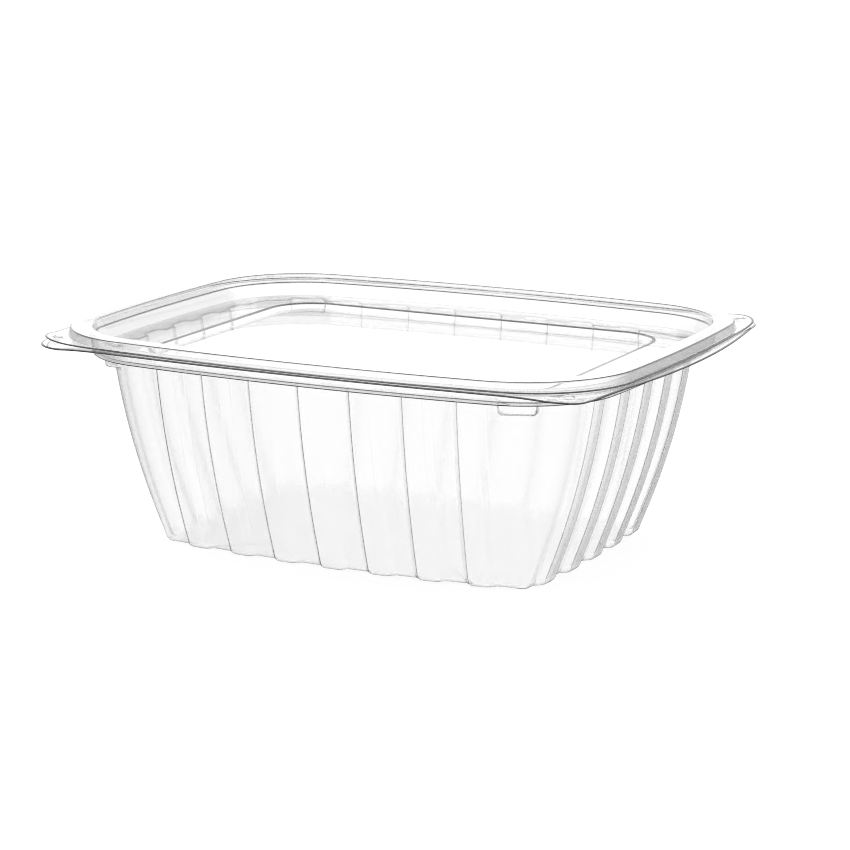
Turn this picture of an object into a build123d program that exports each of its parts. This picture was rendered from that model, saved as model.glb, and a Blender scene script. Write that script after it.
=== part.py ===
from build123d import *
import math
import os

# Clear thermoformed deli container: a ribbed tub and a lid that plugs into its rim.
# Millimetres, +Z up, the origin at the middle of the foot, the long walls along X.

# Sheet and fits
sheet = 0.5
fit_clearance = 0.3
overrun = 2.0

# Heights above the foot
seat_height = 60.0
rim_height = 65.0
ridge_height = 2.5

# Tub walls, measured across the middle of the sides on the floor of the grooves
wall_top_length = 160.8
wall_top_width = 120.4
wall_foot_length = 127.0
wall_foot_width = 92.0
long_wall_bow_radius = 410.0
short_wall_bow_radius = 450.0
wall_lean_share = 0.45
wall_level_shares = (0.0, 0.22, 0.48, 0.74, 1.0)

# Rounded edge between the walls and the foot
foot_round_height = 2.2
foot_round_inset = 1.6

# Ribs
long_wall_ribs = 7
short_wall_ribs = 5
rib_pitch = 16.8
rib_depth = 2.2
rib_crest_width = 6.4
rib_flank_run = 1.9
foot_pitch_share = 0.95

# Rim: the lid's ridge, from which the lid's plug and the tub's neck are inset
ridge_length = 188.4
ridge_width = 146.0
ridge_corner_radius = 39.0
ridge_long_bow = 6.0
ridge_short_bow = 3.5
ridge_draft = 0.7
plug_inset = 6.4
plug_draft = 0.6

# Tub flange, with grip tabs at two opposite corners
tub_flange_length = 197.0
tub_flange_width = 149.6
tub_flange_long_bow = 4.5
tub_flange_short_bow = 8.2
tub_flange_corner_radius = 10.0
tub_tab_radius = 5.0

# Lid flange, with pull tabs at the other two corners
lid_flange_length = 191.0
lid_flange_width = 148.4
lid_flange_long_bow = 7.0
lid_flange_short_bow = 3.5
lid_flange_corner_radius = 33.0
lid_tab_radius = 14.0

# Lid panel: a shallow recess that takes the foot of a tub stacked on top
panel_depth = 1.6
panel_draft = 0.8
panel_corner_radius = 14.0
stacking_clearance = 1.0

# Denesting lugs under the rim, one beside each corner
lug_width = 12.5
lug_height = 3.8
lug_reach = 3.6
lug_root = 5.0
short_wall_lug_setback = 4.0
lug_round = 1.4
lug_turn = 21.0

# Dimples on the tabs
dimple_radius = 1.7
dimple_height = 0.7
dimple_inset = 5.3

lid_base_height = rim_height + sheet
lid_top_height = lid_base_height + ridge_height
ring_under_height = seat_height + fit_clearance
ring_height = ring_under_height + sheet
panel_height = ring_height - panel_depth
panel_under_height = panel_height - sheet
flank_angle = math.atan2(rib_depth, rib_flank_run)
panel_length = wall_foot_length + 2 * (rib_depth + stacking_clearance)
panel_width = wall_foot_width + 2 * (rib_depth + stacking_clearance)


# How far out the walls stand at a height: 0 at the foot, 1 at the seat, bulging in between.
def wall_share(height):
    drop = 1 - height / seat_height
    return 1 - drop * (wall_lean_share + (1 - wall_lean_share) * drop)


# The four walls at a height: turn about Z, reach from the middle, bow radius and number of ribs.
def wall_sides(height, inset):
    share = wall_share(height)
    half_length = (wall_foot_length + (wall_top_length - wall_foot_length) * share) / 2 - inset
    half_width = (wall_foot_width + (wall_top_width - wall_foot_width) * share) / 2 - inset
    long_side = (half_width, long_wall_bow_radius - inset, long_wall_ribs)
    short_side = (half_length, short_wall_bow_radius - inset, short_wall_ribs)
    return [(90 * quarter, *(short_side if quarter % 2 else long_side)) for quarter in range(4)]


# A point on a bowed wall, by its run along the wall and its rise above the grooves, and the heading there.
def wall_point(side, run, rise):
    turn, reach, bow_radius, _ = side
    along = Vector(1, 0).rotate(Axis.Z, turn)
    out = Vector(0, -1).rotate(Axis.Z, turn)
    angle = run / bow_radius
    radius = bow_radius + rise
    point = out * (reach - bow_radius + radius * math.cos(angle)) + along * (radius * math.sin(angle))
    heading = along * math.cos(angle) - out * math.sin(angle)
    return point, heading


# The closed ribbed outline that the walls have at a height, drawn at a level.
def ribbed_outline(height, level, inset):
    pitch = rib_pitch * (foot_pitch_share + (1 - foot_pitch_share) * wall_share(height))
    crest = rib_crest_width / 2 - inset * math.tan(flank_angle / 2)
    root = crest + rib_flank_run
    rib_profile = ((-root, 0), (-crest, rib_depth), (crest, rib_depth), (root, 0))
    runs = []
    for side in wall_sides(height, inset):
        ribs = side[-1]
        end = ribs * pitch / 2
        start_point, start_heading = wall_point(side, -end, 0)
        end_point, end_heading = wall_point(side, end, 0)
        middles = [(index - (ribs - 1) / 2) * pitch for index in range(ribs)]
        ridges = [wall_point(side, middle + run, rise)[0] for middle in middles for run, rise in rib_profile]
        runs.append(([start_point, *ridges, end_point], start_heading, end_heading))
    with BuildSketch(Plane.XY.offset(level)) as outline:
        with BuildLine():
            for index, (points, _, end_heading) in enumerate(runs):
                next_points, next_heading, _ = runs[(index + 1) % len(runs)]
                Polyline(*points)
                Spline(points[-1], next_points[0], tangents=(end_heading, next_heading))
        make_face()
    return outline.sketch


# A rectangle with sides that bow outwards. The front left and rear right corners have a radius of their own.
def bowed_outline(level, length, width, long_bow, short_bow, left_radius, right_radius):
    corner_x = length / 2 - short_bow
    corner_y = width / 2 - long_bow
    corners = ((-corner_x, -corner_y), (corner_x, -corner_y), (corner_x, corner_y), (-corner_x, corner_y))
    middles = ((0, -width / 2), (length / 2, 0), (0, width / 2), (-length / 2, 0))
    with BuildSketch(Plane.XY.offset(level)) as outline:
        with BuildLine():
            for index, middle in enumerate(middles):
                ThreePointArc(corners[index], middle, corners[(index + 1) % len(corners)])
        make_face()
        front_left_and_rear = outline.vertices().filter_by(lambda vertex: vertex.X * vertex.Y > 0)
        fillet(front_left_and_rear, left_radius)
        front_right_and_rear = outline.vertices().filter_by(lambda vertex: vertex.X * vertex.Y < 0)
        fillet(front_right_and_rear, right_radius)
    return outline.sketch


# The lid's ridge outline, moved in by an inset.
def rim_outline(level, inset):
    radius = ridge_corner_radius - inset
    length = ridge_length - 2 * inset
    width = ridge_width - 2 * inset
    return bowed_outline(level, length, width, ridge_long_bow, ridge_short_bow, radius, radius)


# The drafted sections of the plug between two heights, shifted outwards for the neck or inwards for the recess.
def plug_sections(low, high, shift):
    draft_slope = plug_draft / (rim_height - seat_height)
    return [rim_outline(level, plug_inset + draft_slope * (rim_height - level) - shift) for level in (low, high)]


# The stacking recess outline, moved in by an inset.
def panel_outline(level, inset):
    with BuildSketch(Plane.XY.offset(level)) as outline:
        RectangleRounded(panel_length - 2 * inset, panel_width - 2 * inset, panel_corner_radius - inset)
    return outline.sketch


# The front of a lug, or of the pocket behind it, on a plane that faces out of the wall.
def lug_outline(plane, width, height):
    with BuildSketch(plane) as outline:
        Rectangle(width, height, align=(Align.CENTER, Align.MAX))
        fillet(outline.vertices().group_by(Axis.Y)[0], lug_round)
    return outline.sketch


# A plane at the root of each lug, just past the last rib of each wall.
def lug_planes():
    planes = []
    for side in wall_sides(seat_height, 0):
        turn, _, _, ribs = side
        last_point, heading = wall_point(side, ribs * rib_pitch / 2, 0)
        middle = last_point + heading * (lug_width / 2)
        out = Vector(0, -1).rotate(Axis.Z, turn + lug_turn)
        along = Vector(1, 0).rotate(Axis.Z, turn + lug_turn)
        setback = short_wall_lug_setback if ribs == short_wall_ribs else 0
        root = middle - out * (lug_root + setback)
        planes.append(Plane((root.X, root.Y, seat_height - sheet), x_dir=along, z_dir=out))
    return planes


foot_level = foot_round_height
outer_levels = [foot_level + (seat_height - foot_level) * share for share in wall_level_shares]
inner_top = seat_height + sheet
inner_levels = [foot_level + (inner_top - foot_level) * share for share in wall_level_shares]
tub_flange_size = (tub_flange_length, tub_flange_width, tub_flange_long_bow, tub_flange_short_bow)
lid_flange_size = (lid_flange_length, lid_flange_width, lid_flange_long_bow, lid_flange_short_bow)
tub_dimple_x = tub_flange_length / 2 - tub_flange_short_bow - dimple_inset
tub_dimple_y = tub_flange_width / 2 - tub_flange_long_bow - dimple_inset
lid_dimple_x = lid_flange_length / 2 - lid_flange_short_bow - dimple_inset
lid_dimple_y = lid_flange_width / 2 - lid_flange_long_bow - dimple_inset
dimple_stand = (Align.CENTER, Align.CENTER, Align.MIN)

with BuildPart() as tub:
    loft([ribbed_outline(level, level, 0) for level in outer_levels])
    loft([ribbed_outline(foot_level, 0, foot_round_inset), ribbed_outline(foot_level, foot_level, 0)], ruled=True)
    loft(plug_sections(seat_height - sheet, rim_height, fit_clearance + sheet))
    tub_flange = bowed_outline(rim_height - sheet, *tub_flange_size, tub_flange_corner_radius, tub_tab_radius)
    extrude(tub_flange, amount=sheet)
    for plane in lug_planes():
        extrude(lug_outline(plane, lug_width, lug_height), amount=lug_root + lug_reach)
    with Locations((tub_dimple_x, -tub_dimple_y, rim_height), (-tub_dimple_x, tub_dimple_y, rim_height)):
        Cylinder(dimple_radius, dimple_height, align=dimple_stand)

    loft([ribbed_outline(level, level, sheet) for level in inner_levels], mode=Mode.SUBTRACT)
    inner_foot = ribbed_outline(foot_level, sheet, foot_round_inset + sheet)
    loft([inner_foot, ribbed_outline(foot_level, foot_level, sheet)], ruled=True, mode=Mode.SUBTRACT)
    loft(plug_sections(seat_height, rim_height + overrun, fit_clearance), mode=Mode.SUBTRACT)
    for plane in lug_planes():
        pocket = lug_outline(plane, lug_width - 2 * sheet, lug_height - sheet)
        extrude(pocket, amount=lug_root + lug_reach - sheet, mode=Mode.SUBTRACT)
    under_tab = rim_height - sheet
    with Locations((tub_dimple_x, -tub_dimple_y, under_tab), (-tub_dimple_x, tub_dimple_y, under_tab)):
        Cylinder(dimple_radius - sheet, dimple_height, align=dimple_stand, mode=Mode.SUBTRACT)

# The hollow under the lid's ridge, open below
with BuildPart() as ridge_hollow:
    hollow_top = lid_top_height - sheet
    loft([rim_outline(rim_height, sheet), rim_outline(hollow_top, sheet + ridge_draft)])
    loft(plug_sections(rim_height, hollow_top, 0), mode=Mode.SUBTRACT)

with BuildPart() as lid:
    lid_flange = bowed_outline(rim_height, *lid_flange_size, lid_tab_radius, lid_flange_corner_radius)
    extrude(lid_flange, amount=sheet)
    loft([rim_outline(rim_height, 0), rim_outline(lid_top_height, ridge_draft)])
    loft(plug_sections(ring_under_height, rim_height, 0))
    loft([panel_outline(panel_under_height, panel_draft - sheet), panel_outline(ring_under_height, -sheet)])
    with Locations((lid_dimple_x, lid_dimple_y, lid_base_height), (-lid_dimple_x, -lid_dimple_y, lid_base_height)):
        Cylinder(dimple_radius, dimple_height, align=dimple_stand)

    loft(plug_sections(ring_height, lid_top_height + overrun, -sheet), mode=Mode.SUBTRACT)
    loft([panel_outline(panel_height, panel_draft), panel_outline(ring_height, 0)], mode=Mode.SUBTRACT)
    add(ridge_hollow.part, mode=Mode.SUBTRACT)
    with Locations((lid_dimple_x, lid_dimple_y, rim_height), (-lid_dimple_x, -lid_dimple_y, rim_height)):
        Cylinder(dimple_radius - sheet, dimple_height, align=dimple_stand, mode=Mode.SUBTRACT)

os.makedirs("parts", exist_ok=True)
tub.part.label = "tub"
export_step(tub.part, "parts/tub.step")
lid.part.label = "lid"
export_step(lid.part, "parts/lid.step")
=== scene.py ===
import math
import bpy
import numpy as np
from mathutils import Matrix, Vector


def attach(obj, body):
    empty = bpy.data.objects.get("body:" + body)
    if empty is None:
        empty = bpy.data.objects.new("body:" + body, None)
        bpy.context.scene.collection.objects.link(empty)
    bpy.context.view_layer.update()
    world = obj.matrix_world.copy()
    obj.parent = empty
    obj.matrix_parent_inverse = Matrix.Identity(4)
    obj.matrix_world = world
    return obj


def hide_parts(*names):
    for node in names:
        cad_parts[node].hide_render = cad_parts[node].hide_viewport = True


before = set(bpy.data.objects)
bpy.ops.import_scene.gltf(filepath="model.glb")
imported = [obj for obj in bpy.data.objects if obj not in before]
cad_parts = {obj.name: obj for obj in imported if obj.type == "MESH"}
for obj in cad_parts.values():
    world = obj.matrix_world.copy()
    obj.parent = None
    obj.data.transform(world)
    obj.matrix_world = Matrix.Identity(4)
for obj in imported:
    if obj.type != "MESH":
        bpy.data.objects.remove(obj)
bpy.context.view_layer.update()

mm = 0.001  # sizes below are in millimetres, meshes in metres
scene = bpy.context.scene
scene.view_settings.view_transform = "Standard"


# Ridge round the lid, from which the lid's plug and the tub's neck stand in
rimShape = dict(length=188.4, width=146.0, longBow=6.0, shortBow=3.5, cornerRadius=36.5, tabRadius=36.5)
plugDraft = 0.12  # inwards for each mm down
rimLevel = 65.0  # where the flanges of tub and lid meet
sheet = 0.42  # a little under the solids' 0.5, so that the two flanges never share a face
ridgeShape = dict(rimShape, tabRadius=34.0)  # the ridge's outer side is a little fuller at the lid's tabs
cutBand, cutShade = 0.45, 7.0  # painted shade at the cut edge of a flange: width of its dark band in mm, and its depth of painted shade
bendShares = (0, 0.3, 0.7, 1)  # along a bend: shade of the run before, of the bend twice, of the run after


# Reach of a bowed rectangle from its middle in the directions phi, moved in by an inset.
# Four side circles pass through the corners and the mid-sides; a corner circle touches two of them
# from inside, so its centre lies at (side radius - corner radius) from both side centres.
def bowedReach(phi, shape, inset=0.0):
    halfLength = shape["length"] / 2 - inset
    halfWidth = shape["width"] / 2 - inset
    cornerX = halfLength - shape["shortBow"]
    cornerY = halfWidth - shape["longBow"]
    longRadius = (cornerX**2 + shape["longBow"]**2) / (2 * shape["longBow"])
    shortRadius = (cornerY**2 + shape["shortBow"]**2) / (2 * shape["shortBow"])
    longCentre = 1j * (halfWidth - longRadius)
    shortCentre = halfLength - shortRadius + 0j
    onTab = np.cos(phi) * np.sin(phi) > 0
    cornerRadius = np.where(onTab, shape["tabRadius"], shape["cornerRadius"]) - inset
    fromLong = longRadius - cornerRadius
    fromShort = shortRadius - cornerRadius
    gap = shortCentre - longCentre
    along = (fromLong**2 - fromShort**2 + abs(gap)**2) / (2 * abs(gap))
    across = np.sqrt(fromLong**2 - along**2)
    cornerCentre = longCentre + (along - 1j * across) * gap / abs(gap)
    longTouch = np.angle(longCentre + (cornerCentre - longCentre) / fromLong * longRadius)
    shortTouch = np.angle(shortCentre + (cornerCentre - shortCentre) / fromShort * shortRadius)
    heading = abs(np.cos(phi)) + 1j * abs(np.sin(phi))  # folded into the first quarter

    def farCut(centre, radius):  # far cut of the ray with a circle
        dot = (np.conj(heading) * centre).real
        return dot + np.sqrt(np.maximum(dot**2 - abs(centre)**2 + radius**2, 0))

    turn = np.angle(heading)
    reach = farCut(cornerCentre, cornerRadius)
    reach = np.where(turn > longTouch, farCut(longCentre, longRadius), reach)
    return np.where(turn < shortTouch, farCut(shortCentre, shortRadius), reach)


# Straight runs with rounded corners: each corner gives way to an arc that starts and ends
# radius * tan(half the turn) away from it. Points are (inset, level) pairs, returned as rows, with the
# depth of painted shade of each row: that of the run before, that of the bend, then that of the run after.
def roundedPath(points, radii, paintedBendShades, paintedRunShades, steps):
    corners = np.array([complex(*p) for p in points])
    rows = [corners[:1]]
    shade = [paintedRunShades[:1]]
    bends = zip(corners, corners[1:], corners[2:], radii, steps)
    for index, (before, corner, after, radius, count) in enumerate(bends):
        inward = (corner - before) / abs(corner - before)
        outward = (after - corner) / abs(after - corner)
        turn = np.angle(outward / inward)
        setback = radius * np.tan(abs(turn) / 2)
        centre = corner - inward * setback + 1j * np.sign(turn) * inward * radius
        spoke = corner - inward * setback - centre
        shares = np.linspace(0, 1, count)
        rows.append(centre + spoke * np.exp(1j * turn * shares))
        paintedShades = (paintedRunShades[index], paintedBendShades[index], paintedBendShades[index], paintedRunShades[index + 1])
        shade.append(np.interp(shares, bendShares, paintedShades))
    path = np.concatenate(rows + [corners[-1:]])
    return path.real[:, None], path.imag[:, None], np.concatenate(shade + [paintedRunShades[-1:]])[:, None]


# Rows of one number each, or of one number a column, stacked to a full grid.
def stackRows(parts, columns):
    return np.concatenate([np.broadcast_to(part, (len(part), columns)) for part in parts])


# A flat or warped band between two rings: ring = outer + (inner - outer) * share, row by row.
def bandRows(outer, inner, shares):
    shares = np.asarray(shares)[:, None]
    return outer[None] + (inner - outer)[None] * shares


# Height of pressed dimples: flat crown, then a smooth fall to nothing at the radius. The fall is the bend,
# and the second value returned is painted shade along it.
def dimpleRise(plan, look):
    away = np.min([abs(plan - complex(*c)) for c in look["dimples"]], axis=0) / look["dimpleRadius"]
    fall = np.clip((1 - away) / (1 - look["dimpleCrown"]), 0, 1)
    rise = fall * fall * (3 - 2 * fall)
    return look["dimpleHeight"] * rise, look["dimpleShade"] * 4 * rise * (1 - rise)


# A closed thin sheet from its middle surface, a grid of rows (rim to middle) by columns (all round).
# Normal = column step x row step; the upper face is the grid moved out by half the sheet along it,
# the lower face is moved the other way, and a half-round edge joins them at the rim.
# The "bend" attribute, 0 on a flat run and largest on the cut edge, is painted shade: the sheet's colour
# darkens with it. The depth grid carries that painted shade row by row.
def sheetPiece(name, plan, level, depth, thickness):
    grid = np.stack([plan.real, plan.imag, level], axis=-1)
    roundStep = np.roll(grid, -1, axis=1) - np.roll(grid, 1, axis=1)
    inStep = np.gradient(grid, axis=0)
    normal = np.cross(roundStep, inStep)
    normal /= np.linalg.norm(normal, axis=-1, keepdims=True)
    edgeOut = np.cross(roundStep[0], normal[0])
    edgeOut /= np.linalg.norm(edgeOut, axis=-1, keepdims=True)
    half = thickness / 2
    edgeTurns = np.radians([50, 0, -50])[:, None, None]  # three rows make the edge half-round
    edge = grid[0] + half * (np.sin(edgeTurns) * normal[0] + np.cos(edgeTurns) * edgeOut)
    rings = np.concatenate([(grid + half * normal)[::-1], edge, grid - half * normal])
    rows, columns = rings.shape[:2]
    # the half-round cut edge gets the darkest painted shade
    cutEdgeShade = np.full(len(edge) * columns, cutShade)
    bends = np.concatenate([depth[::-1].ravel(), cutEdgeShade, depth.ravel(), [0, 0]])
    upperPole = rings[0].mean(axis=0)
    lowerPole = rings[-1].mean(axis=0)
    verts = np.concatenate([rings.reshape(-1, 3), [upperPole], [lowerPole]]) * mm

    here = np.arange(columns)
    after = np.roll(here, -1)
    base = (np.arange(rows - 1) * columns)[:, None]
    quads = np.stack([base + here, base + columns + here, base + columns + after, base + after], axis=-1)
    lastRow = (rows - 1) * columns
    upperFan = np.stack([np.full(columns, rows * columns), here, after], axis=-1)
    lowerFan = np.stack([np.full(columns, rows * columns + 1), lastRow + after, lastRow + here], axis=-1)
    corners = np.concatenate([quads.ravel(), upperFan.ravel(), lowerFan.ravel()]).astype(np.int32)
    counts = np.concatenate([np.full((rows - 1) * columns, 4), np.full(2 * columns, 3)])
    starts = np.concatenate([[0], np.cumsum(counts)[:-1]]).astype(np.int32)

    mesh = bpy.data.meshes.new(name)
    mesh.vertices.add(len(verts))
    mesh.vertices.foreach_set("co", verts.ravel().astype(np.float32))
    mesh.loops.add(len(corners))
    mesh.loops.foreach_set("vertex_index", corners)
    mesh.polygons.add(len(counts))
    mesh.polygons.foreach_set("loop_start", starts)
    mesh.polygons.foreach_set("use_smooth", np.ones(len(counts), dtype=bool))
    mesh.update(calc_edges=True)
    mesh.validate()
    bendShadeLayer = mesh.attributes.new("bend", "FLOAT", "POINT")
    bendShadeLayer.data.foreach_set("value", bends.astype(np.float32))
    piece = bpy.data.objects.new(name, mesh)
    scene.collection.objects.link(piece)
    print(name, "rows", rows, "columns", columns, "triangles", int((counts - 2).sum()))
    return piece


# Columns spread evenly along an outline: directions at equal steps of its length.
def evenDirections(shape, count, finer=8):
    fine = np.linspace(-np.pi, np.pi, finer * count + 1)
    points = bowedReach(fine, shape) * np.exp(1j * fine)
    run = np.concatenate([[0], np.cumsum(abs(np.diff(points)))])
    return np.interp(np.linspace(0, run[-1], count, endpoint=False), run, fine)


tubSet = dict(
    seat=60.0, ledge=59.75, floor=0.25, skin=0.25,  # levels of the middle of the sheet, and its inset
    topLength=160.8, topWidth=120.4, footLength=127.0, footWidth=92.0, lean=0.45,
    longBow=410.0, shortBow=450.0, longRibs=7, shortRibs=5,
    pitch=16.8, footPitchShare=0.95, ribDepth=2.2, crestHalf=3.2, flankRun=1.9, ribFoot=5.6, bend=0.15,
    footHeight=2.4, footInset=1.9, ledgeBend=0.5, neckBend=0.45, neckInset=5.85, flangeLevel=64.75,
    # painted shade in the sheet's colour: along the neck bends and runs, ledge, foot, lug outlines and rib
    # edges
    neckBendShades=(0.8, 1.0), neckRunShades=(0, 0.25, 0.2), ledgeShade=1.0, footShade=0.3,
    lugShade=0.45, ribShade=0.18, ribLine=0.12,
    flange=dict(length=197.0, width=149.6, longBow=4.5, shortBow=8.2, cornerRadius=5.0, tabRadius=13.0),
    flangeShares=(0, 0.12, 0.2, 0.25, 0.3, 0.34, 0.38, 0.42, 0.46, 0.52, 0.62, 0.8),
    tabDroop=0.7, droopFrom=1.0, droopRun=7.0,
    lugWidth=12.0, lugStart=0.35, lugLow=55.95, lugReach=3.35, shortLugReach=-0.65, lugRound=1.4,
    lugTurn=21.0, lugEdge=0.24, lugFade=1.0, lugLevels=(57.9, 56.7, 56.3, 56.05, 55.85, 55.6, 55.2, 54.5),
    wallTop=51.0, wallFoot=3.0, wallRows=8, floorShares=(0.98, 0.6), ledgeShares=(0.35, 0.7),
    neckLeads=(1.6, 1.3), neckSteps=(6, 6),
    dimples=((85.0, -65.0), (-85.0, 65.0)), dimpleRadius=1.9, dimpleHeight=0.7, dimpleCrown=0.4,
    # painted shade along the dimples' fall
    dimpleShade=0.8,
)


# Share of the flare at a height, 0 at the foot and 1 at the seat:
# 1 - d (lean + (1 - lean) d), with d = 1 - height / seat.
def wallShare(height):
    drop = 1 - height / tubSet["seat"]
    return 1 - drop * (tubSet["lean"] + (1 - tubSet["lean"]) * drop)


# Rib height across a rib: a trapezoid whose bends are softened, soft(t) = (t + sqrt(t t + bend bend)) / 2.
def ribRise(x, inset):
    crest = tubSet["crestHalf"] - inset * math.tan(math.atan2(tubSet["ribDepth"], tubSet["flankRun"]) / 2)
    bend = tubSet["bend"]
    fromRoot = crest + tubSet["flankRun"] - abs(x)
    fromCrest = crest - abs(x)
    soft = [(t + np.sqrt(t * t + bend * bend)) / 2 for t in (fromRoot, fromCrest)]
    return tubSet["ribDepth"] / tubSet["flankRun"] * (soft[0] - soft[1])


# Columns all round the tub: each wall's ribs in turn, close together at the bends, then its corner.
def tubColumns():
    halfCell = np.array([0, 1.9, 2.8, 2.97, 3.05, 3.13, 3.22, 3.6, 4.5, 4.85, 4.94, 5.03, 5.12, 5.5, 6.8,
                         8.4])  # from a rib's middle to the next groove's, in mm at the seat
    cell = np.concatenate([-halfCell[:0:-1], halfCell[:-1]])
    cornerShares = np.array([0, 0.008, 0.016, 0.024, 0.032, 0.042, 0.06, 0.1, 0.17, 0.25, 0.33, 0.39, 0.42,
                             0.435, 0.445, 0.455, 0.465, 0.48, 0.5, 0.515, 0.525, 0.535, 0.55, 0.6, 0.68,
                             0.76, 0.84, 0.92])  # close together at the edges of the lugs
    wall, middle, across, corner = [], [], [], []
    for quarter in range(4):
        ribs = tubSet["shortRibs"] if quarter % 2 else tubSet["longRibs"]
        middles = np.repeat(np.arange(ribs) - (ribs - 1) / 2, len(cell))
        wall.append(np.full(len(middles) + len(cornerShares), quarter))
        middle.append(np.concatenate([middles, np.zeros(len(cornerShares))]))
        across.append(np.concatenate([np.tile(cell, ribs), np.zeros(len(cornerShares))]))
        corner.append(np.concatenate([np.full(len(middles), -1.0), cornerShares]))
    return [np.concatenate(part) for part in (wall, middle, across, corner)]


# Plan of the tub's wall at heights and insets (columns of one number) for all columns, as complex numbers:
# -i e^(i turn) ((reach - R) + (R + rise) e^(i run / R)), R the bow radius; a corner is a cubic between
# two wall ends, with both end headings as long as the chord.
def wallPlan(columns, height, inset):
    wall, middle, across, corner = columns
    share = wallShare(height)
    halfLength = (tubSet["footLength"] + (tubSet["topLength"] - tubSet["footLength"]) * share) / 2 - inset
    halfWidth = (tubSet["footWidth"] + (tubSet["topWidth"] - tubSet["footWidth"]) * share) / 2 - inset
    pitchShare = tubSet["footPitchShare"] + (1 - tubSet["footPitchShare"]) * share

    def onWall(quarter, run, rise):
        isShort = quarter % 2 == 1
        reach = np.where(isShort, halfLength, halfWidth)
        bow = np.where(isShort, tubSet["shortBow"], tubSet["longBow"]) - inset
        turn = np.exp(1j * np.pi / 2 * quarter)
        swing = np.exp(1j * run / bow)
        return -1j * turn * (reach - bow + (bow + rise) * swing), turn * swing

    def wallEnd(quarter, sign):
        ribs = np.where(quarter % 2 == 1, tubSet["shortRibs"], tubSet["longRibs"])
        return onWall(quarter, sign * ribs * tubSet["pitch"] * pitchShare / 2, 0)

    pitch = tubSet["pitch"] * pitchShare
    groove = np.maximum(abs(across) - tubSet["ribFoot"], 0)
    groove = groove * (pitch / 2 - tubSet["ribFoot"]) / (tubSet["pitch"] / 2 - tubSet["ribFoot"])
    x = np.sign(across) * (np.minimum(abs(across), tubSet["ribFoot"]) + groove)  # only the grooves narrow
    ribbed, _ = onWall(wall, middle * pitch + x, ribRise(x, inset))
    start, startHeading = wallEnd(wall, 1)
    end, endHeading = wallEnd((wall + 1) % 4, -1)
    chord = abs(end - start)
    t = np.clip(corner, 0, 1)
    curve = (2 * t**3 - 3 * t**2 + 1) * start + (3 * t**2 - 2 * t**3) * end
    curve = curve + chord * ((t**3 - 2 * t**2 + t) * startHeading + (t**3 - t**2) * endHeading)
    return np.where(corner < 0, ribbed, curve)


# Denesting lugs: the wall is pushed out to a turned face inside a round-cornered window (distance field d),
# by a share of (1 - tanh(d / edge)) / 2. The outline of the window, where the share is half, is the bend.
def pushLugs(plan, level):
    seatInset = np.array([[0.0]])
    depth = np.zeros(plan.shape)
    for quarter in range(4):
        ends = [np.array([v]) for v in (quarter, 0.0, 0.0, 0.0)]
        last = wallPlan(ends, np.array([[tubSet["seat"]]]), seatInset)[0, 0]
        bow = tubSet["shortBow"] if quarter % 2 else tubSet["longBow"]
        ribs = tubSet["shortRibs"] if quarter % 2 else tubSet["longRibs"]
        reach = tubSet["shortLugReach"] if quarter % 2 else tubSet["lugReach"]
        heading = np.exp(1j * (np.pi / 2 * quarter + ribs * tubSet["pitch"] / 2 / bow))
        middle = last + heading * (tubSet["lugWidth"] / 2 + tubSet["lugStart"])
        along = np.exp(1j * (np.pi / 2 * quarter + math.radians(tubSet["lugTurn"])))
        local = (plan - middle) / along  # real part along the lug, imaginary part inwards
        side = abs(local.real) - (tubSet["lugWidth"] / 2 - tubSet["skin"] - tubSet["lugRound"])
        below = tubSet["lugLow"] + tubSet["lugRound"] - level
        away = np.hypot(np.maximum(side, 0), np.maximum(below, 0)) + np.minimum(np.maximum(side, below), 0)
        push = (1 - np.tanh((away - tubSet["lugRound"]) / tubSet["lugEdge"])) / 2
        near = abs(plan - middle) < 2 * tubSet["lugWidth"]
        lift = np.where(near, np.maximum(reach + local.imag, 0), 0)
        plan = plan - 1j * along * push * lift
        underLedge = np.clip(tubSet["ledge"] - tubSet["lugFade"] - level, 0, 1)
        # painted shade along the lug's outline, kept in depth
        outline = 4 * push * (1 - push) * np.clip(lift, 0, 1) * underLedge
        depth = np.maximum(depth, tubSet["lugShade"] * outline)
    return plan, depth


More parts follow.
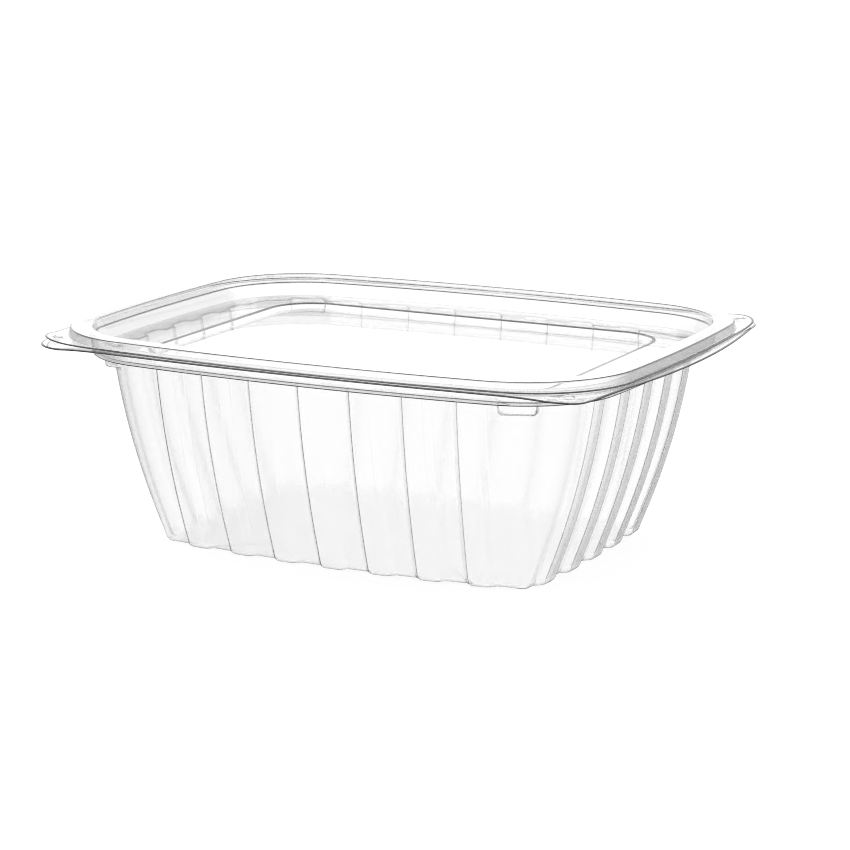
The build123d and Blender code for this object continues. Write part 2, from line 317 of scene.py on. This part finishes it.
# Tub: rows run in from the flange's cut edge over neck, ledge, wall and foot to the middle of the floor.
def buildTub():
    columns = tubColumns()
    seatRow = np.array([[tubSet["seat"]]])
    phi = np.angle(wallPlan(columns, seatRow, np.array([[0.0]])))[0]
    spoke = np.exp(1j * phi)

    # Wall and foot: top bend, lug rows, wall rows, foot bend, floor
    bendTurns = np.radians([0, 30, 60, 90])
    ledgeBend = tubSet["ledgeBend"]
    topInset = tubSet["skin"] - ledgeBend * (1 - np.sin(bendTurns))
    topLevel = tubSet["ledge"] - ledgeBend * (1 - np.cos(bendTurns))
    lugLevel = np.array(tubSet["lugLevels"])
    wallLevel = np.linspace(tubSet["wallTop"], tubSet["footHeight"] + tubSet["wallFoot"], tubSet["wallRows"])
    footTurns = np.radians([0, 22, 45, 68, 90])
    footInset = tubSet["skin"] + tubSet["footInset"] * (1 - np.cos(footTurns))
    footLevel = tubSet["floor"] + tubSet["footHeight"] * (1 - np.sin(footTurns))
    level = np.concatenate([topLevel, lugLevel, wallLevel, footLevel])[:, None]
    upright = np.full(len(lugLevel) + len(wallLevel), tubSet["skin"])
    inset = np.concatenate([topInset, upright, footInset])[:, None]
    wallRows = wallPlan(columns, np.maximum(level, tubSet["footHeight"]), inset)
    wallRows, wallShade = pushLugs(wallRows, level)
    # painted shade: dark lines along the rib edges, and shade over the ledge and foot bends
    ribBends = tubSet["crestHalf"] + np.array([0, tubSet["flankRun"]])
    ribEdge = abs(abs(columns[2])[:, None] - ribBends).min(axis=1)
    onEdge = np.where(columns[3] < 0, np.clip(2 - ribEdge / tubSet["ribLine"], 0, 1), 0)
    wallShade = np.maximum(wallShade, tubSet["ribShade"] * onEdge)
    wallShade[:len(bendTurns)] = tubSet["ledgeShade"] * np.sin(2 * bendTurns)[:, None]
    wallShade[-len(footTurns):] = tubSet["footShade"] * np.sin(2 * footTurns)[:, None]
    floorRows = wallRows[-1:] * np.array(tubSet["floorShares"])[:, None]

    # Neck: flange bend, drafted neck, seat bend
    neckTop = tubSet["neckInset"] + plugDraft * (rimLevel - tubSet["flangeLevel"])
    neckFoot = tubSet["neckInset"] + plugDraft * (rimLevel - tubSet["ledge"])
    leadIn, leadOut = tubSet["neckLeads"]
    neckPath = [(neckTop - leadIn, tubSet["flangeLevel"]), (neckTop, tubSet["flangeLevel"]),
                (neckFoot, tubSet["ledge"]), (neckFoot + leadOut, tubSet["ledge"])]
    neckBends = [tubSet["neckBend"]] * 2
    # painted shade along the neck's bends and runs; the last run's shade also lies on the ledge
    neckInset, neckLevel, neckShade = roundedPath(
        neckPath, neckBends, tubSet["neckBendShades"], tubSet["neckRunShades"], tubSet["neckSteps"])
    neckReach = np.concatenate([bowedReach(phi[None], rimShape, i) for i in neckInset.ravel()])
    neckRows = neckReach * spoke

    # Flange with drooping tabs, and the ledge between neck and wall
    cutRow = bowedReach(phi, tubSet["flange"], sheet / 2) * spoke
    flangeReach = bowedReach(phi, tubSet["flange"], sheet / 2 + cutBand)
    flangeRows = bandRows(flangeReach * spoke, neckRows[0], tubSet["flangeShares"])
    flangeRows = np.concatenate([cutRow[None], flangeRows])
    ridgeReach = bowedReach(phi, rimShape)
    beyond = np.clip((abs(flangeRows) - ridgeReach - tubSet["droopFrom"]) / tubSet["droopRun"], 0, 1)
    rise, flangeShade = dimpleRise(flangeRows, tubSet)
    flangeLevel = tubSet["flangeLevel"] - tubSet["tabDroop"] * beyond**2 + rise
    # painted shade on the flange: along the dimples' fall and, darkest, on the cut edge row
    flangeShade[0] = cutShade
    ledgeRows = bandRows(neckRows[-1], wallRows[0], tubSet["ledgeShares"])

    plan = np.concatenate([flangeRows, neckRows, ledgeRows, wallRows, floorRows])
    ledge, floor = np.ones((len(ledgeRows), 1)), np.ones((len(floorRows), 1))
    levels = [flangeLevel, neckLevel, ledge * tubSet["ledge"], level, floor * tubSet["floor"]]
    paintedShades = [flangeShade, neckShade, ledge * tubSet["neckRunShades"][-1], wallShade, 0 * floor]
    return sheetPiece("tub_shell", plan, *(stackRows(rows, len(phi)) for rows in (levels, paintedShades)), sheet)


lidSet = dict(
    flangeLevel=65.25, ridgeLevel=67.75, ringLevel=60.55, panelLevel=58.95,
    ridgeInset=0.25, ridgeDraft=0.6, plugInset=6.65, panelDraft=0.8,
    # painted shade in the sheet's colour along the ridge's bends and outer wall, and along the panel step
    ridgeBends=(0.4, 0.42, 0.42, 0.6), ridgeBendShades=(0.7, 0.9, 0.35, 0.15),  # foot, outer, inner, ring
    ridgeRunShades=(0, 0.6, 0, 0, 0), ridgeSteps=(5, 7, 7, 6), ridgeLeads=(0.9, 2.0),
    panelBends=(0.5, 0.4), panelBendShades=(0.12, 0.1), panelRunShades=(1.2, 0, 0), panelSteps=(6, 4),
    panelStart=-0.25, panelLeads=(-1.35, 1.8), ringShares=(0.4, 0.98), middleShares=(0.95, 0.75, 0.4),
    flange=dict(length=191.0, width=148.4, longBow=7.0, shortBow=3.5, cornerRadius=33.0, tabRadius=14.0),
    panel=dict(length=133.4, width=98.4, longBow=0.05, shortBow=0.05, cornerRadius=14.0, tabRadius=14.0),
    flangeShares=(0, 0.12, 0.22, 0.3, 0.38, 0.46, 0.54, 0.62, 0.7, 0.78, 0.88),
    tabLift=1.1, liftFrom=2.0, liftRun=7.0, columns=800,
    dimples=((86.7, 61.9), (-86.7, -61.9)), dimpleRadius=1.9, dimpleHeight=0.7, dimpleCrown=0.4,
    # painted shade along the dimples' fall
    dimpleShade=0.8,
)


# Lid: rows run in from the flange's cut edge over ridge, plug, ring and step to the middle of the panel.
def buildLid():
    phi = evenDirections(lidSet["flange"], lidSet["columns"])
    spoke = np.exp(1j * phi)

    # Ridge and plug: foot bend, two bends over the ridge, ring bend
    ridgeFoot = lidSet["ridgeInset"]
    ridgeTop = ridgeFoot + lidSet["ridgeDraft"]
    plugTop = lidSet["plugInset"] + plugDraft * (rimLevel - lidSet["ridgeLevel"])
    plugFoot = lidSet["plugInset"] + plugDraft * (rimLevel - lidSet["ringLevel"])
    leadIn, leadOut = lidSet["ridgeLeads"]
    ridgePath = [(ridgeFoot - leadIn, lidSet["flangeLevel"]), (ridgeFoot, lidSet["flangeLevel"]),
                 (ridgeTop, lidSet["ridgeLevel"]), (plugTop, lidSet["ridgeLevel"]),
                 (plugFoot, lidSet["ringLevel"]), (plugFoot + leadOut, lidSet["ringLevel"])]
    steps = lidSet["ridgeSteps"]
    # painted shade along the ridge's bends and its outer wall
    ridgeInset, ridgeLevel, ridgeShade = roundedPath(
        ridgePath, lidSet["ridgeBends"], lidSet["ridgeBendShades"], lidSet["ridgeRunShades"], steps)
    outerCount = 1 + steps[0] + steps[1]  # rows up to the ridge's outer top bend
    outerRows = [bowedReach(phi[None], ridgeShape, i) for i in ridgeInset[:outerCount, 0]]
    plugRows = [bowedReach(phi[None], rimShape, i) for i in ridgeInset[outerCount:, 0]]
    ridgeRows = np.concatenate(outerRows + plugRows) * spoke

    # Stacking panel, one step down
    panelStart = lidSet["panelStart"]
    leadIn, leadOut = lidSet["panelLeads"]
    panelPath = [(leadIn, lidSet["ringLevel"]), (panelStart, lidSet["ringLevel"]),
                 (lidSet["panelDraft"] + panelStart, lidSet["panelLevel"]), (leadOut, lidSet["panelLevel"])]
    # painted shade: a dark strip on the ring just before the panel step, and faint shade on its bends
    panelInset, panelLevel, panelShade = roundedPath(
        panelPath, lidSet["panelBends"], lidSet["panelBendShades"], lidSet["panelRunShades"],
        lidSet["panelSteps"])
    panelReach = [bowedReach(phi[None], lidSet["panel"], i) for i in panelInset.ravel()]
    panelRows = np.concatenate(panelReach) * spoke
    middleRows = panelRows[-1:] * np.array(lidSet["middleShares"])[:, None]
    ringRows = bandRows(ridgeRows[-1], panelRows[0], lidSet["ringShares"])

    # Flange with lifted pull tabs
    cutRow = bowedReach(phi, lidSet["flange"], sheet / 2) * spoke
    flangeReach = bowedReach(phi, lidSet["flange"], sheet / 2 + cutBand)
    flangeRows = bandRows(flangeReach * spoke, ridgeRows[0], lidSet["flangeShares"])
    flangeRows = np.concatenate([cutRow[None], flangeRows])
    pastRidge = abs(flangeRows) - bowedReach(phi, rimShape)
    beyond = np.clip((pastRidge - lidSet["liftFrom"]) / lidSet["liftRun"], 0, 1)
    rise, flangeShade = dimpleRise(flangeRows, lidSet)
    flangeLevel = lidSet["flangeLevel"] + lidSet["tabLift"] * beyond**2 + rise
    # painted shade on the flange: along the dimples' fall and, darkest, on the cut edge row
    flangeShade[0] = cutShade

    plan = np.concatenate([flangeRows, ridgeRows, ringRows, panelRows, middleRows])
    ring, middle = np.ones((len(ringRows), 1)), np.ones((len(middleRows), 1))
    levels = [flangeLevel, ridgeLevel, ring * lidSet["ringLevel"], panelLevel,
              middle * lidSet["panelLevel"]]
    paintedShades = [flangeShade, ridgeShade, 0 * ring, panelShade, 0 * middle]
    return sheetPiece("lid_shell", plan, *(stackRows(rows, len(phi)) for rows in (levels, paintedShades)), sheet)


clearSet = dict(
    ior=1.47, absorbTint=(0.455, 0.44, 0.45, 1), edgeFrom=0.84, edgeTo=0.98, edgeShade=0.3, bendShade=0.01,
    faceOn=0.12, askance=0.5, faceOnShare=0.16,
    waveScale=60.0, waveDetail=1.5, waveHeight=0.00001,
    hazeScale=900.0, hazeDetail=3.0, hazeFrom=0.35, hazeTo=0.7, hazeLow=0.8, hazeHigh=1.2,
    drawnLevel=62.0, clearLevel=64.0,  # haze up to the first level, clear from the second
    tub=dict(absorbDensity=80.0, drawnRough=0.14, rimRough=0.05),
    lid=dict(absorbDensity=190.0, drawnRough=0.05, rimRough=0.03),
)


# Clear formed sheet: glass-like, with slow waves from forming and a faint grey depth. Fine haze lies on
# what was drawn down in the mould, and the rim above it stays clear. Its colour carries painted shade:
# darker where the sheet is seen edge-on, and darker by the "bend" attribute, more so seen askance.
def clearSheet(name, look):
    material = bpy.data.materials.new(name)
    material.use_nodes = True
    nodes, links = material.node_tree.nodes, material.node_tree.links
    shader = nodes["Principled BSDF"]
    shader.inputs["Transmission Weight"].default_value = 1.0
    shader.inputs["IOR"].default_value = clearSet["ior"]

    def mapped(source, fromLow, fromHigh, toLow, toHigh):
        node = nodes.new("ShaderNodeMapRange")
        node.interpolation_type = "SMOOTHSTEP"
        node.inputs["From Min"].default_value = fromLow
        node.inputs["From Max"].default_value = fromHigh
        node.inputs["To Min"].default_value = toLow
        node.inputs["To Max"].default_value = toHigh
        links.new(source, node.inputs["Value"])
        return node.outputs["Result"]

    def noise(scale, detail):
        node = nodes.new("ShaderNodeTexNoise")
        node.inputs["Scale"].default_value = scale
        node.inputs["Detail"].default_value = detail
        links.new(place.outputs["Object"], node.inputs["Vector"])
        return node.outputs["Fac"]

    def product(first, second):
        node = nodes.new("ShaderNodeMath")
        node.operation = "MULTIPLY"
        links.new(first, node.inputs[0])
        links.new(second, node.inputs[1])
        return node.outputs[0]

    facing = nodes.new("ShaderNodeLayerWeight").outputs["Facing"]
    # painted shade where the sheet is seen edge-on
    shade = mapped(facing, clearSet["edgeFrom"], clearSet["edgeTo"], 1.0, clearSet["edgeShade"])
    bent = nodes.new("ShaderNodeAttribute")
    bent.attribute_name = "bend"
    turned = mapped(facing, clearSet["faceOn"], clearSet["askance"], clearSet["faceOnShare"], 1.0)
    # painted shade from the "bend" attribute, weighted up where the sheet is seen askance
    bendShadeFactor = mapped(product(bent.outputs["Fac"], turned), 0.0, 1.0, 1.0, clearSet["bendShade"])
    links.new(product(shade, bendShadeFactor), shader.inputs["Base Color"])
    place = nodes.new("ShaderNodeTexCoord")
    split = nodes.new("ShaderNodeSeparateXYZ")
    links.new(place.outputs["Object"], split.inputs[0])
    levels = (clearSet["drawnLevel"] * mm, clearSet["clearLevel"] * mm)
    rough = mapped(split.outputs["Z"], *levels, look["drawnRough"], look["rimRough"])
    grain = noise(clearSet["hazeScale"], clearSet["hazeDetail"])
    haze = mapped(grain, clearSet["hazeFrom"], clearSet["hazeTo"], clearSet["hazeLow"], clearSet["hazeHigh"])
    links.new(product(rough, haze), shader.inputs["Roughness"])
    bump = nodes.new("ShaderNodeBump")
    bump.inputs["Distance"].default_value = clearSet["waveHeight"]
    links.new(noise(clearSet["waveScale"], clearSet["waveDetail"]), bump.inputs["Height"])
    links.new(bump.outputs["Normal"], shader.inputs["Normal"])
    depth = nodes.new("ShaderNodeVolumeAbsorption")
    depth.inputs["Color"].default_value = clearSet["absorbTint"]
    depth.inputs["Density"].default_value = look["absorbDensity"]
    links.new(depth.outputs["Volume"], nodes["Material Output"].inputs["Volume"])
    return material


for node, build in (("tub", buildTub), ("lid", buildLid)):
    piece = build()
    piece.data.materials.append(clearSheet("clear_" + node, clearSet[node]))
    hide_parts(node)
    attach(piece, node)
print("tub and lid dressed")


stageSet = dict(
    floorHalf=8.0, floorColour=(0.95, 0.95, 0.95, 1), floorRough=0.9, floorWhite=0.9,
    skyColour=(0.95, 0.96, 1.0, 1), skyStrength=0.8,
    underColour=(0.10, 0.11, 0.105), overColour=(1.6, 1.6, 1.6), underSlope=-0.25, overSlope=0.12,
    throughStrength=1.1,
)


# Floor: white to the camera, with a little of the shadow that falls on it
def buildFloor():
    half = stageSet["floorHalf"]
    mesh = bpy.data.meshes.new("floor")
    square = [(-half, -half, 0), (half, -half, 0), (half, half, 0), (-half, half, 0)]
    mesh.from_pydata(square, [], [(0, 1, 2, 3)])
    floor = bpy.data.objects.new("floor", mesh)
    scene.collection.objects.link(floor)
    material = bpy.data.materials.new("pale_floor")
    material.use_nodes = True
    nodes, links = material.node_tree.nodes, material.node_tree.links
    shader = nodes["Principled BSDF"]
    shader.inputs["Base Color"].default_value = stageSet["floorColour"]
    shader.inputs["Roughness"].default_value = stageSet["floorRough"]
    glow = nodes.new("ShaderNodeEmission")
    path = nodes.new("ShaderNodeLightPath")
    share = nodes.new("ShaderNodeMath")
    share.operation = "MULTIPLY"
    share.inputs[1].default_value = stageSet["floorWhite"]
    links.new(path.outputs["Is Camera Ray"], share.inputs[0])
    mix = nodes.new("ShaderNodeMixShader")
    links.new(share.outputs[0], mix.inputs["Fac"])
    links.new(shader.outputs["BSDF"], mix.inputs[1])
    links.new(glow.outputs["Emission"], mix.inputs[2])
    links.new(mix.outputs[0], nodes["Material Output"].inputs["Surface"])
    mesh.materials.append(material)
    floor.visible_glossy = False
    floor.visible_transmission = False


# World: white behind and through the sheet, darker below the horizon for what the walls reflect
def buildWorld():
    world = bpy.data.worlds.new("studio")
    scene.world = world
    world.use_nodes = True
    nodes, links = world.node_tree.nodes, world.node_tree.links
    sky = nodes["Background"]
    sky.inputs["Color"].default_value = stageSet["skyColour"]
    sky.inputs["Strength"].default_value = stageSet["skyStrength"]
    white = nodes.new("ShaderNodeBackground")
    white.inputs["Color"].default_value = (1, 1, 1, 1)
    mirrored = nodes.new("ShaderNodeBackground")
    place = nodes.new("ShaderNodeTexCoord")
    split = nodes.new("ShaderNodeSeparateXYZ")
    links.new(place.outputs["Generated"], split.inputs[0])
    ramp = nodes.new("ShaderNodeMapRange")
    ramp.data_type = "FLOAT_VECTOR"
    ramp.interpolation_type = "SMOOTHSTEP"
    rampKeys = ("underSlope", "overSlope", "underColour", "overColour")
    for socket, key in zip(range(7, 11), rampKeys):  # From Min, From Max, To Min, To Max as vectors
        ramp.inputs[socket].default_value = np.broadcast_to(stageSet[key], 3).tolist()
    spread = nodes.new("ShaderNodeCombineXYZ")
    for axis in range(3):
        links.new(split.outputs["Z"], spread.inputs[axis])
    links.new(spread.outputs[0], ramp.inputs[6])
    links.new(ramp.outputs[1], mirrored.inputs["Color"])
    path = nodes.new("ShaderNodeLightPath")
    lift = nodes.new("ShaderNodeMapRange")
    lift.inputs["To Min"].default_value = 1.0
    lift.inputs["To Max"].default_value = stageSet["throughStrength"]
    links.new(path.outputs["Is Transmission Ray"], lift.inputs["Value"])
    links.new(lift.outputs["Result"], white.inputs["Strength"])
    seen = nodes.new("ShaderNodeMath")
    seen.operation = "MAXIMUM"
    links.new(path.outputs["Is Camera Ray"], seen.inputs[0])
    links.new(path.outputs["Is Transmission Ray"], seen.inputs[1])
    through = nodes.new("ShaderNodeMixShader")
    links.new(seen.outputs[0], through.inputs["Fac"])
    links.new(sky.outputs[0], through.inputs[1])
    links.new(white.outputs[0], through.inputs[2])
    final = nodes.new("ShaderNodeMixShader")
    links.new(path.outputs["Is Reflection Ray"], final.inputs["Fac"])
    links.new(through.outputs[0], final.inputs[1])
    links.new(mirrored.outputs[0], final.inputs[2])
    links.new(final.outputs[0], nodes["World Output"].inputs["Surface"])


lampSet = dict(
    key=dict(place=(-0.5, -0.5, 0.9), size=0.8, power=4.0),
    fill=dict(place=(0.8, 0.3, 0.7), size=0.6, power=2.0),
)


# Lamps: soft squares turned to face the middle of the foot
def buildLamps():
    for name, lamp in lampSet.items():
        light = bpy.data.lights.new(name + "_lamp", "AREA")
        light.size = lamp["size"]
        light.energy = lamp["power"]
        holder = bpy.data.objects.new(name + "_lamp", light)
        holder.location = lamp["place"]
        holder.rotation_euler = (-Vector(lamp["place"])).to_track_quat("-Z", "Y").to_euler()
        scene.collection.objects.link(holder)


cameraSet = dict(azimuth=27.34, elevation=13.08, distance=0.9302, target=(0, 0, 0.0294), lens=126.25,
                 sensor=36.0, shift=(0.02454, 0.02041))


# Camera: out from the target by the distance, towards (sin az cos el, -cos az cos el, sin el)
def buildCamera():
    azimuth, elevation = (math.radians(cameraSet[k]) for k in ("azimuth", "elevation"))
    away = Vector((math.sin(azimuth) * math.cos(elevation), -math.cos(azimuth) * math.cos(elevation),
                   math.sin(elevation)))
    camera = bpy.data.objects.new("camera", bpy.data.cameras.new("camera"))
    camera.data.lens = cameraSet["lens"]
    camera.data.sensor_width = cameraSet["sensor"]
    camera.data.shift_x, camera.data.shift_y = cameraSet["shift"]
    camera.location = Vector(cameraSet["target"]) + away * cameraSet["distance"]
    camera.rotation_euler = (-away).to_track_quat("-Z", "Y").to_euler()
    scene.collection.objects.link(camera)
    scene.camera = camera


raySet = dict(filterWidth=1.0, bounces=40, glossyBounces=24)  # fine lines stay fine, light gets through

buildFloor()
buildWorld()
buildLamps()
buildCamera()
scene.cycles.filter_width = raySet["filterWidth"]
scene.cycles.max_bounces = raySet["bounces"]
scene.cycles.transmission_bounces = raySet["bounces"]
scene.cycles.glossy_bounces = raySet["glossyBounces"]
print("stage, lamps and camera set")
